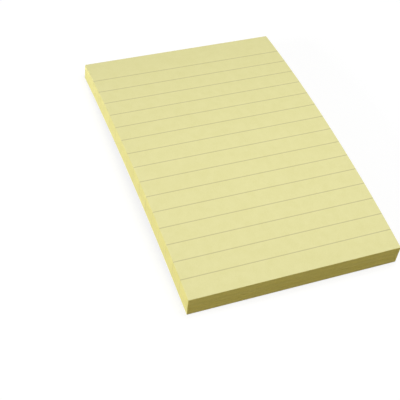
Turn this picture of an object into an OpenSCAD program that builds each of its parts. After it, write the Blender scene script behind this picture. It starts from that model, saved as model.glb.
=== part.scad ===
// A pad of ruled sticky notes, gummed along one short edge, with its backing sheet.
// Every sheet is cut to the same size. The stack has taken a set: it arches along its length and
// lies on its two short edges. The sheets have slid on each other, so both ends stay upright.
// X runs across the pad, +Y towards the gummed edge, +Z up, and the origin is under the middle.

/* [Sheets] */
// Width of a sheet, along the ruled lines
sheet_w = 101.6; // [50:0.1:210]
// Length of a sheet, from the free edge to the gummed edge
sheet_l = 152.4; // [75:0.1:300]

/* [Stack] */
// Height of the stack of notes at the gummed edge, where the gum holds the sheets tight
gummed_t = 8.6; // [4:0.1:30]
// Height of the stack of notes at the free edge, where the sheets lie looser
free_t = 10.5; // [4:0.1:30]
// Radius that the top note is bowed to
top_bow_r = 690; // [400:5:3000]
// Radius that the underside is bowed to
under_bow_r = 815; // [500:5:3000]

/* [Backing] */
// Thickness of the release-coated sheet that covers the gum of the last note
backing_t = 0.2; // [0.1:0.05:1]

/* [Hidden] */

// A bow this wide shows as an arc only with many sides
bow_fn = 3600;
// How far the shape between the ends reaches past the stack, above it and below it
spare = 40;

note_color = [0.90, 0.87, 0.62];
backing_color = [0.95, 0.94, 0.86];

// A straight line from end to end of the bowed top note
top_chord = 2 * top_bow_r * sin(sheet_l / 2 / top_bow_r * 180 / PI);
// The ends differ in height, so the pad is a little shorter than that line
pad_l = sqrt(pow(top_chord, 2) - pow(free_t - gummed_t, 2));
// Slope of the top, from the free edge down to the gummed edge
top_tilt = atan((gummed_t - free_t) / pad_l);
// Height of the middle of that line over the surface the pad lies on
chord_z = backing_t + (gummed_t + free_t) / 2;

// Distance from an arc's centre to a chord of it
function chord_depth(r, chord) = sqrt(pow(r, 2) - pow(chord / 2, 2));

// Everything under the top note's bow, as seen along +X: across is Y, up is Z
module under_top_bow() {
    translate([0, chord_z])
        rotate(top_tilt)
            translate([0, -chord_depth(top_bow_r, top_chord)])
                circle(r = top_bow_r, $fn = bow_fn);
}

// Everything under a bow whose two ends lie at the height z
module under_bottom_bow(z) {
    translate([0, z - chord_depth(under_bow_r, pad_l)])
        circle(r = under_bow_r, $fn = bow_fn);
}

// What lies between the two upright ends
module between_ends() {
    translate([-pad_l / 2, -spare])
        square([pad_l, max(gummed_t, free_t) + 2 * spare]);
}

// Extrudes a side view across the width of the pad
module across_width() {
    rotate([90, 0, 90])
        translate([0, 0, -sheet_w / 2])
            linear_extrude(height = sheet_w)
                children();
}

// The ruled notes, all together
module note_block() {
    color(note_color)
        across_width()
            intersection() {
                between_ends();
                difference() {
                    under_top_bow();
                    under_bottom_bow(backing_t);
                }
            }
}

// The sheet under the last note, following the underside of the stack
module backing_sheet() {
    color(backing_color)
        across_width()
            intersection() {
                between_ends();
                difference() {
                    under_bottom_bow(backing_t);
                    under_bottom_bow(0);
                }
            }
}

note_block();
backing_sheet();
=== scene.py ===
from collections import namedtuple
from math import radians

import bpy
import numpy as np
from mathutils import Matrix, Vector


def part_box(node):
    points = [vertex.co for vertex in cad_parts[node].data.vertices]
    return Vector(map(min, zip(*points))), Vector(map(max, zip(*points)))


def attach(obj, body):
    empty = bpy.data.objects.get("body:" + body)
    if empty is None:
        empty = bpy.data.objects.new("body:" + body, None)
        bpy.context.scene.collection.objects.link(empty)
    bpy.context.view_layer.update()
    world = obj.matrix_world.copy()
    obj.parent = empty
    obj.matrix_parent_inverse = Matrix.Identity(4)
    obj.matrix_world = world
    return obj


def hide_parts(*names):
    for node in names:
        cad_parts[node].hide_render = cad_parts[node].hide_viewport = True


bl_info = {
    "name": "Ruled sticky note pad",
    "version": (1, 0, 0),
    "blender": (4, 5, 0),
    "location": "View3D > Sidebar > Note Pad",
    "description": "Builds the looks of a bowed pad of ruled sticky notes, sheet by sheet",
    "category": "Object",
}

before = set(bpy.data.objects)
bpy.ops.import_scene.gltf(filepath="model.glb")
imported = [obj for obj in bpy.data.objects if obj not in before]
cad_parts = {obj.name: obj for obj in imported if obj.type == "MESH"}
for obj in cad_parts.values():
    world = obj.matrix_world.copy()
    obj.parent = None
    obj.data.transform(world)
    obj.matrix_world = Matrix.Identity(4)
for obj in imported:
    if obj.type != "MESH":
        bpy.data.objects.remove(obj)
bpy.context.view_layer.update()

MM = 0.001
BLOCK, BACKING = "note_block", "backing_sheet"

# How many stretches a surface has across the pad and along it
ACROSS, ALONG = 24, 72
# The left side's number in the outline, and the cut sides' numbers in the list of materials: the left side
# gets the paler, lit copy of the cut colour, and the other three get a deeper copy that is painted shade
LEFT = 3
LEFT_CUT, PAINTED_SHADE_CUTS = 1, 2
# The corners of a cut side's face: those on the ring above, and those one place further round
ABOVE, FURTHER = np.array([0, 0, 1, 1]), np.array([0, 1, 1, 0])
# Where a note's lower edge, its upper edge and the groove above it come in the count of notes
LOWER_EDGE, UPPER_EDGE, GROOVE = 0.1, 0.9, 1.0
# A gap goes in this many times as far as it is high, and no further than the deepest one
GAP_DEPTH, DEEPEST_GAP = 3.0, 0.6 * MM
# Shares of the slip: sideways as a whole, swung about the gummed end, and pushed along the pad
SLIP_DRIFT, SLIP_SWING, SLIP_PUSH = 0.25, 0.75, 0.6
# How much of the backing sheet's thickness its eased edge takes, at the top and at the bottom
EASED_SHARE = 0.125
# Half the side of the floor, and how far from its middle the lift starts and stops changing
FLOOR_HALF, LIFT_STARTS, LIFT_ENDS = 3.0, 0.25, 1.5
# The shortest and the longest of the slow waves in the top note
WAVE_LENGTHS = 22 * MM, 45 * MM
# The width of the camera's sensor in millimetres, and the nearest that it sees in metres
SENSOR_WIDTH, NEAREST_SEEN = 36, 0.01

Bow = namedtuple("Bow", "y z radius")
Outline = namedtuple("Outline", "x y out side start end round")


def edge_points(node):
    """The (y, z) points of a CAD node's right side, as its upper and its lower edge, from the free end on."""
    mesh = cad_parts[node].data
    points = np.empty(len(mesh.vertices) * 3, np.float32)
    mesh.vertices.foreach_get("co", points)
    points = points.reshape(-1, 3).astype(float)
    near_enough = 0.01 * MM
    side = points[points[:, 0] > points[:, 0].max() - near_enough, 1:]
    side = side[np.argsort(side[:, 0])]
    middle = (side[:, 1].min() + side[:, 1].max()) / 2
    return side[side[:, 1] > middle], side[side[:, 1] <= middle]


def bow_through(edge):
    """The circle through an edge's two ends and its middle point.

    Equal distances from the centre to the three points give two linear equations for the centre.
    """
    first, last = edge[0], edge[-1]
    middle = edge[np.argmin(abs(edge[:, 0] - (first[0] + last[0]) / 2))]
    sides = np.array([middle - first, last - first])
    squares = np.array([middle @ middle - first @ first, last @ last - first @ first])
    centre = np.linalg.solve(2 * sides, squares)
    return Bow(centre[0], centre[1], np.linalg.norm(first - centre))


def height_on(bow, y):
    """How high a bow is at y: the centre's height plus the circle's own rise there."""
    return bow.z + np.sqrt(bow.radius**2 - (y - bow.y) ** 2)


def distance_along(bow, y, gummed):
    """The distance along a bow from the gummed end: the radius times the angle between the two places."""
    angle = np.arcsin((gummed - bow.y) / bow.radius) - np.arcsin((y - bow.y) / bow.radius)
    return bow.radius * angle


upper_edge, lower_edge = edge_points(BLOCK)
top_bow, under_bow = bow_through(upper_edge), bow_through(lower_edge)
block_low, block_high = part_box(BLOCK)
floor_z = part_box(BACKING)[0].z
half_width = block_high.x
free_y, gummed_y = block_low.y, block_high.y
gummed_height = height_on(top_bow, gummed_y) - height_on(under_bow, gummed_y)
backing_t = block_low.z - floor_z


def outline():
    """Points round the pad's plan, anticlockwise from the free end's left corner, on four straight sides.

    Each point is its side's first corner plus its share of the way to the next one. out is the direction
    out of the pad. At a corner it is the sum of both sides' directions, so that a point that moves in by
    some amount keeps it on both sides. side, start and end say which side each stretch lies on and which
    share of that side it covers. round is the distance round to each point.
    """
    corners = np.array([(-half_width, free_y), (half_width, free_y),
                        (half_width, gummed_y), (-half_width, gummed_y)])
    outward = np.array([(0, -1), (1, 0), (0, 1), (-1, 0)], float)
    counts = [ACROSS, ALONG, ACROSS, ALONG]
    side = np.repeat(np.arange(4), counts)
    start = np.concatenate([np.arange(n) / n for n in counts])
    end = np.concatenate([np.arange(1, n + 1) / n for n in counts])
    here, after = corners[side], corners[(side + 1) % 4]
    place = here + (after - here) * start[:, None]
    out = outward[side] + outward[side - 1] * (start == 0)[:, None]
    step = np.linalg.norm(np.roll(place, -1, 0) - place, axis=1)
    return Outline(place[:, 0], place[:, 1], out, side, start, end, np.append(0, np.cumsum(step)))


def inside_points():
    """Evenly spaced (x, y) places inside the pad's plan, in rows from the free end on, without its rim."""
    x = np.linspace(-half_width, half_width, ACROSS + 1)[1:-1]
    y = np.linspace(free_y, gummed_y, ALONG + 1)[1:-1]
    return np.stack([part.ravel() for part in np.meshgrid(x, y)], -1)


def cap_grid(ring, first_new):
    """Vertex numbers of a surface inside a ring, in rows from the free end on.

    The rim has the ring's own numbers, and the inside has new ones.
    """
    grid = np.zeros((ALONG + 1, ACROSS + 1), int)
    front, right, back, left = np.split(ring, np.cumsum([ACROSS, ALONG, ACROSS]))
    grid[0, :ACROSS] = front
    grid[:ALONG, ACROSS] = right
    grid[ALONG, ACROSS:0:-1] = back
    grid[ALONG:0:-1, 0] = left
    new = first_new + np.arange((ALONG - 1) * (ACROSS - 1))
    grid[1:ALONG, 1:ACROSS] = new.reshape(ALONG - 1, ACROSS - 1)
    return grid


def quads(grid):
    """The four corners of each cell of a grid of vertex numbers, anticlockwise if its rows go up or back."""
    return np.stack([grid[:-1, :-1], grid[:-1, 1:], grid[1:, 1:], grid[1:, :-1]], -1).reshape(-1, 4)


def side_cells(rings, columns):
    """The ring under each face of the cut sides and its place round the pad, in the order of quads."""
    return (index.reshape(-1, 1) for index in np.mgrid[:rings - 1, :columns])


def sheet_map(plan, faces):
    """Where each corner is on its sheet: metres from the left edge, and metres along from the gummed edge."""
    places = np.stack([plan[:, 0] + half_width, distance_along(top_bow, plan[:, 1], gummed_y)], -1)
    return places[faces]


def edge_map(rim, layers, face_count):
    """Where each corner of the cut sides is: the distance round the pad, and its place in the count of notes.

    The other faces stay at 0, because nothing reads the map there.
    """
    row, column = side_cells(len(layers), len(rim.x))
    places = np.zeros((face_count, 4, 2))
    places[:len(row), :, 0] = rim.round[column + FURTHER]
    places[:len(row), :, 1] = layers[row + ABOVE]
    return places


def in_rectangle(rectangle, u, v):
    """Places inside (left, bottom, right, top), that share u of the way across and v of the way up."""
    left, bottom, right, top = rectangle
    return np.stack([left + (right - left) * u, bottom + (top - bottom) * v], -1)


def bake_layout(main_is_top):
    """Rectangles of the bake's map: the four sides in the outline's order, then the top and the underside.

    The surface that shows gets the big one.
    """
    strips = [(0.855, 0.010, 0.915, 0.660), (0.680, 0.010, 0.755, 0.985),
              (0.930, 0.010, 0.990, 0.660), (0.765, 0.010, 0.840, 0.985)]
    big, small = (0.010, 0.010, 0.660, 0.985), (0.855, 0.680, 0.990, 0.880)
    return strips, (big, small) if main_is_top else (small, big)


def bake_map(rim, rings, plan, low_faces, high_faces, main_is_top):
    """A map without overlaps: each corner's share of the way over its side or surface, in its rectangle."""
    strips, (top_rectangle, under_rectangle) = bake_layout(main_is_top)
    row, column = side_cells(rings, len(rim.x))
    up = (row + ABOVE) / (rings - 1)
    along = np.where(FURTHER, rim.end[column], rim.start[column])
    sides = np.zeros((len(row), 4, 2))
    for side, strip in enumerate(strips):
        mine = rim.side[column[:, 0]] == side
        sides[mine] = in_rectangle(strip, up[mine], along[mine])
    share = np.stack([(plan[:, 0] + half_width) / (2 * half_width),
                      (plan[:, 1] - free_y) / (gummed_y - free_y)])
    under = in_rectangle(under_rectangle, *share[:, low_faces])
    top = in_rectangle(top_rectangle, *share[:, high_faces])
    return np.concatenate([sides, under, top])


def finish_faces(mesh, rim, rings):
    """Flat cut sides with their own materials, and smooth surfaces with a sharp edge round them."""
    columns = len(rim.x)
    is_side = np.arange(len(mesh.polygons)) < (rings - 1) * columns
    material = np.zeros(len(mesh.polygons), np.int32)
    # The left cut side gets the paler, lit tint, and the front, right and back sides get the deeper tint of
    # painted shade
    material[is_side] = np.tile(np.where(rim.side == LEFT, LEFT_CUT, PAINTED_SHADE_CUTS), rings - 1)
    mesh.polygons.foreach_set("material_index", material)
    mesh.polygons.foreach_set("use_smooth", ~is_side)

    ends = np.empty(len(mesh.edges) * 2, np.int32)
    mesh.edges.foreach_get("vertices", ends)
    one_end, other_end = (ends // columns).reshape(-1, 2).T
    sharp = (one_end == other_end) & ((one_end == 0) | (one_end == rings - 1))
    mesh.attributes.new("sharp_edge", "BOOLEAN", "EDGE").data.foreach_set("value", sharp)


def stack_mesh(name, rim, points, layers, underside, top, main_is_top):
    """A closed mesh from rings of points: they are joined into the cut sides, and a surface closes each end.

    points has one row of places for each ring, from the bottom up, and layers says where each ring comes
    in the count of notes. underside and top give the place of a point (x, y) of each surface.
    """
    rings, columns = points.shape[:2]
    inside = inside_points()
    vertices = np.concatenate([points.reshape(-1, 3), underside(*inside.T), top(*inside.T)])
    numbers = np.arange(rings * columns).reshape(rings, columns)
    closed = np.concatenate([numbers, numbers[:, :1]], 1)
    low_faces = quads(cap_grid(numbers[0], rings * columns))[:, ::-1]
    high_faces = quads(cap_grid(numbers[-1], rings * columns + len(inside)))
    faces = np.concatenate([quads(closed), low_faces, high_faces])

    mesh = bpy.data.meshes.new(name)
    mesh.from_pydata(vertices.tolist(), [], faces.tolist())
    finish_faces(mesh, rim, rings)

    plan = np.concatenate([np.tile(np.stack([rim.x, rim.y], -1), (rings, 1)), inside, inside])
    maps = {"sheet": sheet_map(plan, faces),
            "edge": edge_map(rim, layers, len(faces)),
            "OFBake": bake_map(rim, rings, plan, low_faces, high_faces, main_is_top)}
    for map_name, places in maps.items():
        layer = mesh.uv_layers.new(name=map_name, do_init=False)
        layer.uv.foreach_set("vector", places.astype(np.float32).ravel())
    mesh.update()
    return mesh


def place_piece(name, mesh, materials, node):
    """Adds a finished mesh as the piece that stands for a CAD node."""
    for material in materials:
        mesh.materials.append(material)
    piece = bpy.data.objects.new(name, mesh)
    bpy.context.scene.collection.objects.link(piece)
    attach(piece, "root")
    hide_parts(node)
    return piece


class Nodes:
    """The shader nodes of a material or a world.

    Each call adds nodes and gives the output that the next call reads.
    """

    def __init__(self, owner):
        owner.use_nodes = True
        self.owner, self.tree = owner, owner.node_tree
        self.tree.nodes.clear()

    def add(self, kind, inputs, **settings):
        """A node of any kind. Each input is another node's output, or a value of its own."""
        node = self.tree.nodes.new(kind)
        for name, value in settings.items():
            setattr(node, name, value)
        for key, value in inputs.items():
            if isinstance(value, bpy.types.NodeSocket):
                self.tree.links.new(value, node.inputs[key])
            else:
                node.inputs[key].default_value = value
        return node

    def math(self, operation, a, b=0.0, clamp=False):
        return self.add("ShaderNodeMath", {0: a, 1: b}, operation=operation, use_clamp=clamp).outputs[0]

    def sum_of(self, *parts):
        """The sum of some outputs, each times its own weight."""
        total, *others = [self.math("MULTIPLY", output, weight) for output, weight in parts]
        for other in others:
            total = self.math("ADD", total, other)
        return total

    def object_place(self, stretch=(1.0, 1.0, 1.0)):
        place = self.add("ShaderNodeTexCoord", {}).outputs["Object"]
        return self.add("ShaderNodeMapping", {"Vector": place, "Scale": stretch}).outputs[0]

    def map_place(self, name):
        """The two numbers that one of the piece's own maps gives."""
        place = self.add("ShaderNodeUVMap", {}, uv_map=name).outputs[0]
        parts = self.add("ShaderNodeSeparateXYZ", {0: place})
        return parts.outputs[0], parts.outputs[1]

    def noise(self, place, size, detail=2.0, roughness=0.5):
        """Cloudy noise from 0 to 1 whose largest spots are about as wide as size."""
        inputs = {"Vector": place, "Scale": 1 / size, "Detail": detail, "Roughness": roughness}
        return self.add("ShaderNodeTexNoise", inputs).outputs[0]

    def ramp(self, value, low, high, to_low=0.0, to_high=1.0):
        """Goes from to_low, where the value is low, to to_high, where it is high, on a smooth S curve."""
        inputs = {0: value, 1: low, 2: high, 3: to_low, 4: to_high}
        return self.add("ShaderNodeMapRange", inputs, interpolation_type="SMOOTHSTEP").outputs[0]

    def mix(self, share, a, b):
        """The first colour where share is 0, and the second where it is 1."""
        a, b = (value if isinstance(value, bpy.types.NodeSocket) else (*value, 1) for value in (a, b))
        return self.add("ShaderNodeMix", {0: share, 6: a, 7: b}, data_type="RGBA").outputs[2]

    def bump(self, height, depth, strength):
        inputs = {"Height": height, "Distance": depth, "Strength": strength}
        return self.add("ShaderNodeBump", inputs).outputs[0]

    def surface(self, inputs):
        """Ends a material with its shader."""
        shader = self.add("ShaderNodeBsdfPrincipled", inputs)
        self.add("ShaderNodeOutputMaterial", {0: shader.outputs[0]})
        return self.owner

    def looked_at(self):
        """1 for what the camera, a reflection or a see-through ray meets, and 0 for soft light on its way."""
        path = self.add("ShaderNodeLightPath", {})
        looks = self.math("ADD", path.outputs["Is Camera Ray"], path.outputs["Is Glossy Ray"], clamp=True)
        return self.math("ADD", looks, path.outputs["Is Transmission Ray"], clamp=True)


def line_share(nodes, along, ruling, width):
    """1 on a ruled line and 0 off it, from the distance along the sheet.

    A wave that folds back at half the pitch gives the distance to the nearest line, and the stretch past
    the first and the last line is cut off.
    """
    past_first = nodes.math("SUBTRACT", along, ruling.first_line)
    nearest = nodes.math("PINGPONG", past_first, ruling.pitch / 2)
    soft = 0.04 * MM
    line = nodes.ramp(nearest, width / 2 + soft, width / 2 - soft)
    after = nodes.math("GREATER_THAN", past_first, -ruling.pitch / 2)
    before = nodes.math("LESS_THAN", past_first, (ruling.lines - 0.5) * ruling.pitch)
    return nodes.math("MULTIPLY", line, nodes.math("MULTIPLY", after, before))


def face_paper(paper, ruling):
    """Uncoated tinted paper, fibrous and faintly clouded, with the ruling printed on it in broken ink."""
    fibre_size, cloud_size, break_size, tooth_size = 0.35 * MM, 4 * MM, 0.12 * MM, 0.11 * MM
    tooth_depth = 0.008 * MM
    nodes = Nodes(bpy.data.materials.new("ruled_note_paper"))
    fibres = nodes.noise(nodes.object_place((1.0, 0.4, 1.0)), fibre_size, 3.0, 0.6)
    clouds = nodes.noise(nodes.object_place(), cloud_size, 3.0, 0.55)
    tone = nodes.ramp(nodes.sum_of((fibres, 0.55), (clouds, 0.45)), 0.3, 0.7)
    colour = nodes.mix(tone, paper.face_deep, paper.face_light)

    _, along = nodes.map_place("sheet")
    breaks = nodes.noise(nodes.object_place(), break_size)
    ink = nodes.math("MULTIPLY", nodes.ramp(breaks, 0.25, 0.5, 0.65, 1.0), ruling.ink_strength)
    ink = nodes.math("MULTIPLY", line_share(nodes, along, ruling, ruling.line_width), ink)
    colour = nodes.mix(ink, colour, ruling.ink_tint)

    tooth = nodes.noise(nodes.object_place(), tooth_size, 3.0, 0.6)
    return nodes.surface({
        "Base Color": colour, "Roughness": nodes.ramp(fibres, 0.2, 0.8, 0.78, 0.9),
        "Normal": nodes.bump(tooth, tooth_depth, 0.6), "Specular IOR Level": 0.3})


def cut_edges(name, light, deep, ruling):
    """A cut side: each note lighter or darker, the blade's strokes, and the ends of the ruled lines.

    own is a number of its own for each note. It also moves and weakens that note's marks.
    """
    stroke_size, fibre_size, depth = 0.5 * MM, 0.12 * MM, 0.01 * MM
    stroke_shift, mark_shift, mark_spread = 0.004 * MM, 0.2 * MM, 1.3
    nodes = Nodes(bpy.data.materials.new(name))
    around, layer = nodes.map_place("edge")
    note = nodes.math("FLOOR", layer)
    own = nodes.add("ShaderNodeTexWhiteNoise", {"W": note}, noise_dimensions="1D").outputs[0]
    across_notes = nodes.math("MULTIPLY", layer, stroke_shift)
    stroke_place = nodes.add("ShaderNodeCombineXYZ", {0: around, 1: across_notes}).outputs[0]
    strokes = nodes.noise(stroke_place, stroke_size, 3.0, 0.6)
    fibres = nodes.noise(nodes.object_place(), fibre_size, 2.0, 0.6)
    tone = nodes.sum_of((own, 0.4), (strokes, 0.35), (fibres, 0.25))
    colour = nodes.mix(nodes.ramp(tone, 0.2, 0.8), deep, light)

    _, along = nodes.map_place("sheet")
    shift = nodes.math("MULTIPLY", nodes.math("SUBTRACT", own, 0.5), mark_shift)
    moved = nodes.math("ADD", along, shift)
    marks = line_share(nodes, moved, ruling, ruling.line_width * mark_spread)
    marks = nodes.math("MULTIPLY", marks, nodes.ramp(own, 0.0, 1.0, 0.4, 1.0))
    marks = nodes.math("MULTIPLY", marks, ruling.mark_strength)
    return nodes.surface({
        "Base Color": nodes.mix(marks, colour, ruling.ink_tint), "Roughness": 0.65,
        "Normal": nodes.bump(nodes.math("ADD", fibres, strokes), depth, 0.5), "Specular IOR Level": 0.5})


def release_paper(paper):
    """Smooth release-coated paper with a faint mottle."""
    cloud_size, fibre_size, wave_size, depth = 3 * MM, 0.4 * MM, 0.3 * MM, 0.01 * MM
    nodes = Nodes(bpy.data.materials.new("release_coated_paper"))
    clouds = nodes.noise(nodes.object_place(), cloud_size, 4.0, 0.6)
    fibres = nodes.noise(nodes.object_place((1.0, 0.4, 1.0)), fibre_size, 3.0, 0.6)
    tone = nodes.ramp(nodes.sum_of((fibres, 0.4), (clouds, 0.6)), 0.3, 0.7)
    waves = nodes.noise(nodes.object_place(), wave_size)
    return nodes.surface({
        "Base Color": nodes.mix(tone, paper.backing_deep, paper.backing_light),
        "Roughness": nodes.ramp(clouds, 0.2, 0.8, 0.4, 0.5),
        "Normal": nodes.bump(waves, depth, 0.4), "Specular IOR Level": 0.45})


class NotePadSheets(bpy.types.PropertyGroup):
    count: bpy.props.IntProperty(
        name="Notes", description="Number of notes in the pad", default=100, min=10, max=150)
    packing: bpy.props.FloatProperty(
        name="Packing", description="Share of the stack's height at the gummed end that is paper",
        default=0.985, min=0.8, max=1.0)
    clumping: bpy.props.FloatProperty(
        name="Clumping", description="How unevenly the air lies between the notes: 0 is even",
        default=0.8, min=0.0, max=4.0)
    slip: bpy.props.FloatProperty(
        name="Slip", description="About how far a note lies out of line with the others at the free end",
        default=0.05 * MM, min=0, max=2 * MM, unit="LENGTH")
    lean: bpy.props.FloatProperty(
        name="Lean", description="How far to the left the top note lies of the lowest one at the free end",
        default=0.4 * MM, min=-3 * MM, max=3 * MM, unit="LENGTH")
    fray: bpy.props.FloatProperty(
        name="Fray", description="Roughness of a note's cut edge",
        default=0.006 * MM, min=0, max=0.2 * MM, unit="LENGTH")
    groove: bpy.props.FloatProperty(
        name="Groove", description="Depth of the groove between two notes that touch",
        default=0.03 * MM, min=0, max=0.5 * MM, unit="LENGTH")
    cockle: bpy.props.FloatProperty(
        name="Cockle", description="Height of the slow waves in the top note",
        default=0.02 * MM, min=0, max=1 * MM, unit="LENGTH")
    seed: bpy.props.IntProperty(
        name="Seed", description="Starts the random numbers", default=7, min=0)


class NotePadRuling(bpy.types.PropertyGroup):
    lines: bpy.props.IntProperty(
        name="Lines", description="Number of ruled lines", default=15, min=0, max=40)
    pitch: bpy.props.FloatProperty(
        name="Pitch", description="Distance from line to line",
        default=9.1 * MM, min=3 * MM, max=20 * MM, unit="LENGTH")
    first_line: bpy.props.FloatProperty(
        name="First line", description="Distance of the first line from the gummed edge",
        default=14.85 * MM, min=0, max=60 * MM, unit="LENGTH")
    line_width: bpy.props.FloatProperty(
        name="Line width", description="Width of a printed line",
        default=0.45 * MM, min=0.05 * MM, max=2 * MM, unit="LENGTH")
    ink_tint: bpy.props.FloatVectorProperty(
        name="Ink", description="Colour of the printed lines",
        subtype="COLOR", size=3, min=0, max=1, default=(0.36, 0.31, 0.18))
    ink_strength: bpy.props.FloatProperty(
        name="Ink strength", description="How fully the ink covers the paper",
        default=0.45, min=0, max=1)
    mark_strength: bpy.props.FloatProperty(
        name="Mark strength", description="How strongly the lines' ends show on the cut sides",
        default=0.22, min=0, max=1)


class NotePadPaper(bpy.types.PropertyGroup):
    face_light: bpy.props.FloatVectorProperty(
        name="Light face", description="Lighter colour of a note's face",
        subtype="COLOR", size=3, min=0, max=1, default=(0.82, 0.78, 0.39))
    face_deep: bpy.props.FloatVectorProperty(
        name="Deep face", description="Deeper colour of a note's face",
        subtype="COLOR", size=3, min=0, max=1, default=(0.78, 0.74, 0.345))
    left_light: bpy.props.FloatVectorProperty(
        name="Light left side", description="Lighter colour of the left cut side",
        subtype="COLOR", size=3, min=0, max=1, default=(0.84, 0.785, 0.33))
    left_deep: bpy.props.FloatVectorProperty(
        name="Deep left side", description="Deeper colour of the left cut side",
        subtype="COLOR", size=3, min=0, max=1, default=(0.76, 0.705, 0.275))
    # The other three cut sides' colours are a deeper copy of the left side's colours: painted shade on the
    # front, right and back cut sides
    painted_shade_sides_light: bpy.props.FloatVectorProperty(
        name="Light other sides", description="Lighter colour of the other three cut sides",
        subtype="COLOR", size=3, min=0, max=1, default=(0.84, 0.715, 0.175))
    painted_shade_sides_deep: bpy.props.FloatVectorProperty(
        name="Deep other sides", description="Deeper colour of the other three cut sides",
        subtype="COLOR", size=3, min=0, max=1, default=(0.74, 0.625, 0.13))
    backing_light: bpy.props.FloatVectorProperty(
        name="Light backing", description="Lighter colour of the backing sheet",
        subtype="COLOR", size=3, min=0, max=1, default=(0.86, 0.84, 0.70))
    backing_deep: bpy.props.FloatVectorProperty(
        name="Deep backing", description="Deeper colour of the backing sheet",
        subtype="COLOR", size=3, min=0, max=1, default=(0.80, 0.78, 0.62))


class NotePadStage(bpy.types.PropertyGroup):
    camera_place: bpy.props.FloatVectorProperty(
        name="Camera place", description="Where the camera stands",
        size=3, subtype="TRANSLATION", default=(-0.15716, -0.26930, 0.32481))
    camera_turn: bpy.props.FloatVectorProperty(
        name="Camera turn", description="How the camera is turned, as XYZ angles in degrees",
        size=3, default=(40.884, -6.448, -20.786))
    camera_lens: bpy.props.FloatProperty(
        name="Lens", description="Focal length on a 36 mm sensor, in millimetres",
        default=83.33, min=10, max=300)
    lamp_size: bpy.props.FloatProperty(
        name="Lamp size", description="Side of each lamp's square", default=0.3, min=0.01, unit="LENGTH")
    side_place: bpy.props.FloatVectorProperty(
        name="Side lamp place", description="Where the lamp at the left stands",
        size=3, subtype="TRANSLATION", default=(-0.90, -0.08, 0.20))
    side_power: bpy.props.FloatProperty(
        name="Side lamp power", description="Power of the lamp at the left in watts",
        default=7.15, min=0)
    top_place: bpy.props.FloatVectorProperty(
        name="Top lamp place", description="Where the lamp overhead hangs",
        size=3, subtype="TRANSLATION", default=(0.09, -0.03, 0.50))
    top_power: bpy.props.FloatProperty(
        name="Top lamp power", description="Power of the lamp overhead in watts",
        default=1.46, min=0)
    sky: bpy.props.FloatProperty(
        name="Sky", description="Strength of the light from all round", default=0.28, min=0)
    floor_tint: bpy.props.FloatVectorProperty(
        name="Floor", description="Colour of the floor",
        subtype="COLOR", size=3, min=0, max=1, default=(0.26, 0.26, 0.26))
    floor_lift: bpy.props.FloatProperty(
        name="Floor lift", description="Brightness that the camera sees over the floor's own, near the pad",
        default=0.78, min=0)
    far_lift: bpy.props.FloatProperty(
        name="Far floor lift", description="Brightness that the camera sees over the floor's own, far off",
        default=0.93, min=0)


def share_from_gum(y):
    """How far along the pad a place is, from 0 at the gummed end to 1 at the free end."""
    return (gummed_y - y) / (gummed_y - free_y)


def lean_at(sheets, height_share, y):
    """How far the stack's lean moves a note sideways: nothing where it is gummed, most at the free end.

    The lowest note goes to the right and the top note to the left, by half of the lean each.
    """
    return sheets.lean * (0.5 - height_share) * share_from_gum(y)


def air_shares(sheets, random):
    """How much of the air in the stack lies under each note: the sum of uneven shares, from 0 to 1."""
    weights = random.exponential(1.0, sheets.count - 1) ** sheets.clumping
    return np.append(0, np.cumsum(weights) / weights.sum())


def slow_waves(size, random, waves=6):
    """A function of (x, y) that adds up slow waves and fades to nothing at the pad's rim.

    Each wave is the sine of the distance in its own direction over its length. The fade is a sine from
    rim to rim, both ways.
    """
    turn = random.uniform(0, np.pi, waves)
    length = random.uniform(*WAVE_LENGTHS, waves)
    phase = random.uniform(0, 2 * np.pi, waves)

    def height(x, y):
        run = x[:, None] * np.cos(turn) + y[:, None] * np.sin(turn)
        total = np.sin(2 * np.pi * run / length + phase).sum(1) / np.sqrt(waves)
        fade_x = np.sin(np.pi * (x + half_width) / (2 * half_width))
        fade_y = np.sin(np.pi * (y - free_y) / (gummed_y - free_y))
        return size * total * fade_x * fade_y

    return height


def ring(rim, x, y, z, inset):
    """Rings round the pad's plan, moved by x and y, drawn in by inset and lifted to z."""
    moved = np.stack([rim.x + x, rim.y + y], -1) - rim.out * inset[..., None]
    return np.concatenate([moved, z[..., None]], -1)


def note_rings(sheets, rim, random):
    """The rings of the notes' cut sides, from the bottom up: a note's two edges, then the groove above it.

    A note's lower edge is the underside's height, plus the notes under it, plus its share of the air
    there. The air is the height between the two bows less all the notes. A groove lies half-way between
    its two notes, and is deeper where the gap between them is higher.
    """
    note_t = gummed_height * sheets.packing / sheets.count
    numbers = np.arange(sheets.count)[:, None]
    bottom = height_on(under_bow, rim.y)
    air = height_on(top_bow, rim.y) - bottom - sheets.count * note_t
    low = bottom + numbers * note_t + air * air_shares(sheets, random)[:, None]
    high = low + note_t
    gap = low[1:] - high[:-1]
    middle = (low[1:] + high[:-1]) / 2
    depth = np.minimum(sheets.groove + gap * GAP_DEPTH, DEEPEST_GAP)

    drift, swing, push = random.normal(0, 1, (3, sheets.count, 1))
    turned = sheets.slip * (SLIP_DRIFT * drift + SLIP_SWING * swing * share_from_gum(rim.y))
    slip_x = turned + lean_at(sheets, numbers / (sheets.count - 1), rim.y)
    slip_y = np.tile(SLIP_PUSH * sheets.slip * push, len(rim.x))
    fray = random.normal(0, sheets.fray, (sheets.count, len(rim.x)))

    edge_low = ring(rim, slip_x, slip_y, low, fray)
    edge_high = ring(rim, slip_x, slip_y, high, fray)
    grooves = ring(rim, (slip_x[1:] + slip_x[:-1]) / 2, (slip_y[1:] + slip_y[:-1]) / 2, middle, depth)
    # The top note has no groove above it, so one more fills its place and is dropped at the end
    grooves = np.concatenate([grooves, grooves[-1:]])
    points = np.stack([edge_low, edge_high, grooves], 1).reshape(-1, len(rim.x), 3)[:-1]
    layers = (numbers + [LOWER_EDGE, UPPER_EDGE, GROOVE]).ravel()[:-1]
    return points, layers


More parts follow.
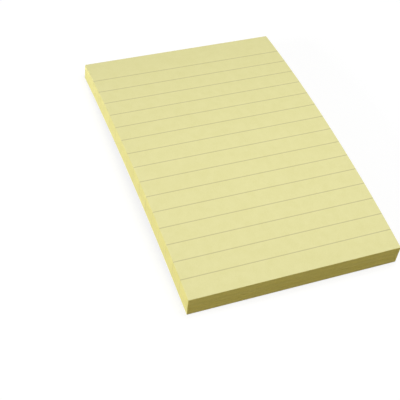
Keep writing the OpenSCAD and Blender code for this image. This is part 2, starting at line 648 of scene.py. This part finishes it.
class NOTEPAD_OT_note_block(bpy.types.Operator):
    """Builds the ruled notes as one stack, with the cut edge of each note and the air between them"""

    bl_idname = "notepad.note_block"
    bl_label = "Note block"

    def execute(self, context):
        scene = context.scene
        sheets, ruling, paper = scene.notepad_sheets, scene.notepad_ruling, scene.notepad_paper
        random = np.random.default_rng(sheets.seed)
        rim = outline()
        points, layers = note_rings(sheets, rim, random)
        waves = slow_waves(sheets.cockle, random)

        def underside(x, y):
            return np.stack([x + lean_at(sheets, 0, y), y, height_on(under_bow, y)], -1)

        def top(x, y):
            return np.stack([x + lean_at(sheets, 1, y), y, height_on(top_bow, y) + waves(x, y)], -1)

        mesh = stack_mesh(BLOCK, rim, points, layers, underside, top, main_is_top=True)
        # The left cut side takes the paler, lit copy of the cut colour, and the front, right and back sides
        # take a deeper copy that is painted shade
        materials = [face_paper(paper, ruling),
                     cut_edges("left_cut_edges", paper.left_light, paper.left_deep, ruling),
                     cut_edges("painted_shade_cut_edges", paper.painted_shade_sides_light, paper.painted_shade_sides_deep, ruling)]
        piece = place_piece("ruled_notes", mesh, materials, BLOCK)
        return {"FINISHED"}


class NOTEPAD_OT_backing_sheet(bpy.types.Operator):
    """Builds the release-coated sheet under the last note"""

    bl_idname = "notepad.backing_sheet"
    bl_label = "Backing sheet"

    def execute(self, context):
        """Four rings follow the bow. The lowest and the highest are drawn in, to ease the edges."""
        sheets = context.scene.notepad_sheets
        rim = outline()
        ease = backing_t * EASED_SHARE
        heights = np.array([-backing_t, ease - backing_t, -ease, 0.0])[:, None]
        inset = np.array([ease, 0.0, 0.0, ease])[:, None]
        points = ring(rim, lean_at(sheets, 0, rim.y), 0.0, height_on(under_bow, rim.y) + heights, inset)
        layers = np.linspace(LOWER_EDGE, UPPER_EDGE, len(points))

        def top(x, y):
            return np.stack([x + lean_at(sheets, 0, y), y, height_on(under_bow, y)], -1)

        def underside(x, y):
            return top(x, y) - (0, 0, backing_t)

        mesh = stack_mesh(BACKING, rim, points, layers, underside, top, main_is_top=False)
        material = release_paper(context.scene.notepad_paper)
        piece = place_piece("release_backing", mesh, [material] * 3, BACKING)
        return {"FINISHED"}


class NOTEPAD_OT_stage(bpy.types.Operator):
    """Adds the floor, the two lamps, the light from all round and the camera"""

    bl_idname = "notepad.stage"
    bl_label = "Stage"

    def execute(self, context):
        scene = context.scene
        stage = scene.notepad_stage
        self.add_floor(scene, stage)
        self.add_sky(scene, stage)
        self.add_lamp(scene, "side", stage.side_place, stage.side_power, stage.lamp_size)
        self.add_lamp(scene, "top", stage.top_place, stage.top_power, stage.lamp_size)
        self.add_camera(scene, stage)
        scene.view_settings.view_transform = "Standard"
        return {"FINISHED"}

    def add_floor(self, scene, stage):
        """A square of floor at the height that the pad lies on. What looks at it sees it lifted to white."""
        corners = FLOOR_HALF * np.array([(-1, -1, 0), (1, -1, 0), (1, 1, 0), (-1, 1, 0)])
        mesh = bpy.data.meshes.new("floor")
        mesh.from_pydata((corners + (0, 0, floor_z)).tolist(), [], [(0, 1, 2, 3)])
        nodes = Nodes(bpy.data.materials.new("pale_floor"))
        length = nodes.add("ShaderNodeVectorMath", {0: nodes.object_place()}, operation="LENGTH")
        distance = length.outputs["Value"]
        lift = nodes.ramp(distance, LIFT_STARTS, LIFT_ENDS, stage.floor_lift, stage.far_lift)
        lift = nodes.math("MULTIPLY", nodes.looked_at(), lift)
        mesh.materials.append(nodes.surface({
            "Base Color": (*stage.floor_tint, 1), "Roughness": 0.9, "Specular IOR Level": 0.1,
            "Emission Color": (1, 1, 1, 1), "Emission Strength": lift}))
        floor = bpy.data.objects.new("floor", mesh)
        scene.collection.objects.link(floor)

    def add_sky(self, scene, stage):
        """Even light from all round. The camera sees plain white where it looks past the floor."""
        scene.world = bpy.data.worlds.new("studio")
        nodes = Nodes(scene.world)
        strength = nodes.ramp(nodes.looked_at(), 0.0, 1.0, stage.sky, 1.0)
        light = nodes.add("ShaderNodeBackground", {"Color": (1, 1, 1, 1), "Strength": strength})
        nodes.add("ShaderNodeOutputWorld", {0: light.outputs[0]})

    def add_lamp(self, scene, name, place, power, size):
        """A large soft lamp, turned towards the pad."""
        light = bpy.data.lights.new(name, "AREA")
        light.size, light.energy = size, power
        lamp = bpy.data.objects.new(name, light)
        lamp.location = place
        lamp.rotation_euler = lamp.location.to_track_quat("Z", "Y").to_euler()
        scene.collection.objects.link(lamp)

    def add_camera(self, scene, stage):
        """The camera, as found from the ruled lines and corners in the photograph."""
        camera = bpy.data.objects.new("camera", bpy.data.cameras.new("camera"))
        camera.data.sensor_width, camera.data.lens = SENSOR_WIDTH, stage.camera_lens
        camera.data.clip_start = NEAREST_SEEN
        camera.location = stage.camera_place
        camera.rotation_euler = [radians(angle) for angle in stage.camera_turn]
        scene.collection.objects.link(camera)
        scene.camera = camera


class NOTEPAD_PT_panel(bpy.types.Panel):
    """Lists what can be built and the sizes and colours that it follows"""

    bl_idname = "NOTEPAD_PT_panel"
    bl_label = "Note Pad"
    bl_space_type = "VIEW_3D"
    bl_region_type = "UI"
    bl_category = "Note Pad"

    def draw(self, context):
        for operator in OPERATORS:
            self.layout.operator(operator.bl_idname)
        for group_name in GROUPS:
            group = getattr(context.scene, group_name)
            box = self.layout.box()
            for name in group.__annotations__:
                box.prop(group, name)


OPERATORS = (NOTEPAD_OT_note_block, NOTEPAD_OT_backing_sheet, NOTEPAD_OT_stage)
GROUPS = {"notepad_sheets": NotePadSheets, "notepad_ruling": NotePadRuling,
          "notepad_paper": NotePadPaper, "notepad_stage": NotePadStage}


def register():
    for group_name, group in GROUPS.items():
        bpy.utils.register_class(group)
        setattr(bpy.types.Scene, group_name, bpy.props.PointerProperty(type=group))
    for item in (*OPERATORS, NOTEPAD_PT_panel):
        bpy.utils.register_class(item)


def unregister():
    for item in (NOTEPAD_PT_panel, *reversed(OPERATORS)):
        bpy.utils.unregister_class(item)
    for group_name, group in reversed(GROUPS.items()):
        delattr(bpy.types.Scene, group_name)
        bpy.utils.unregister_class(group)


def main():
    """Builds everything."""
    register()
    bpy.ops.notepad.note_block()
    bpy.ops.notepad.backing_sheet()
    bpy.ops.notepad.stage()


if __name__ == "__main__":
    main()
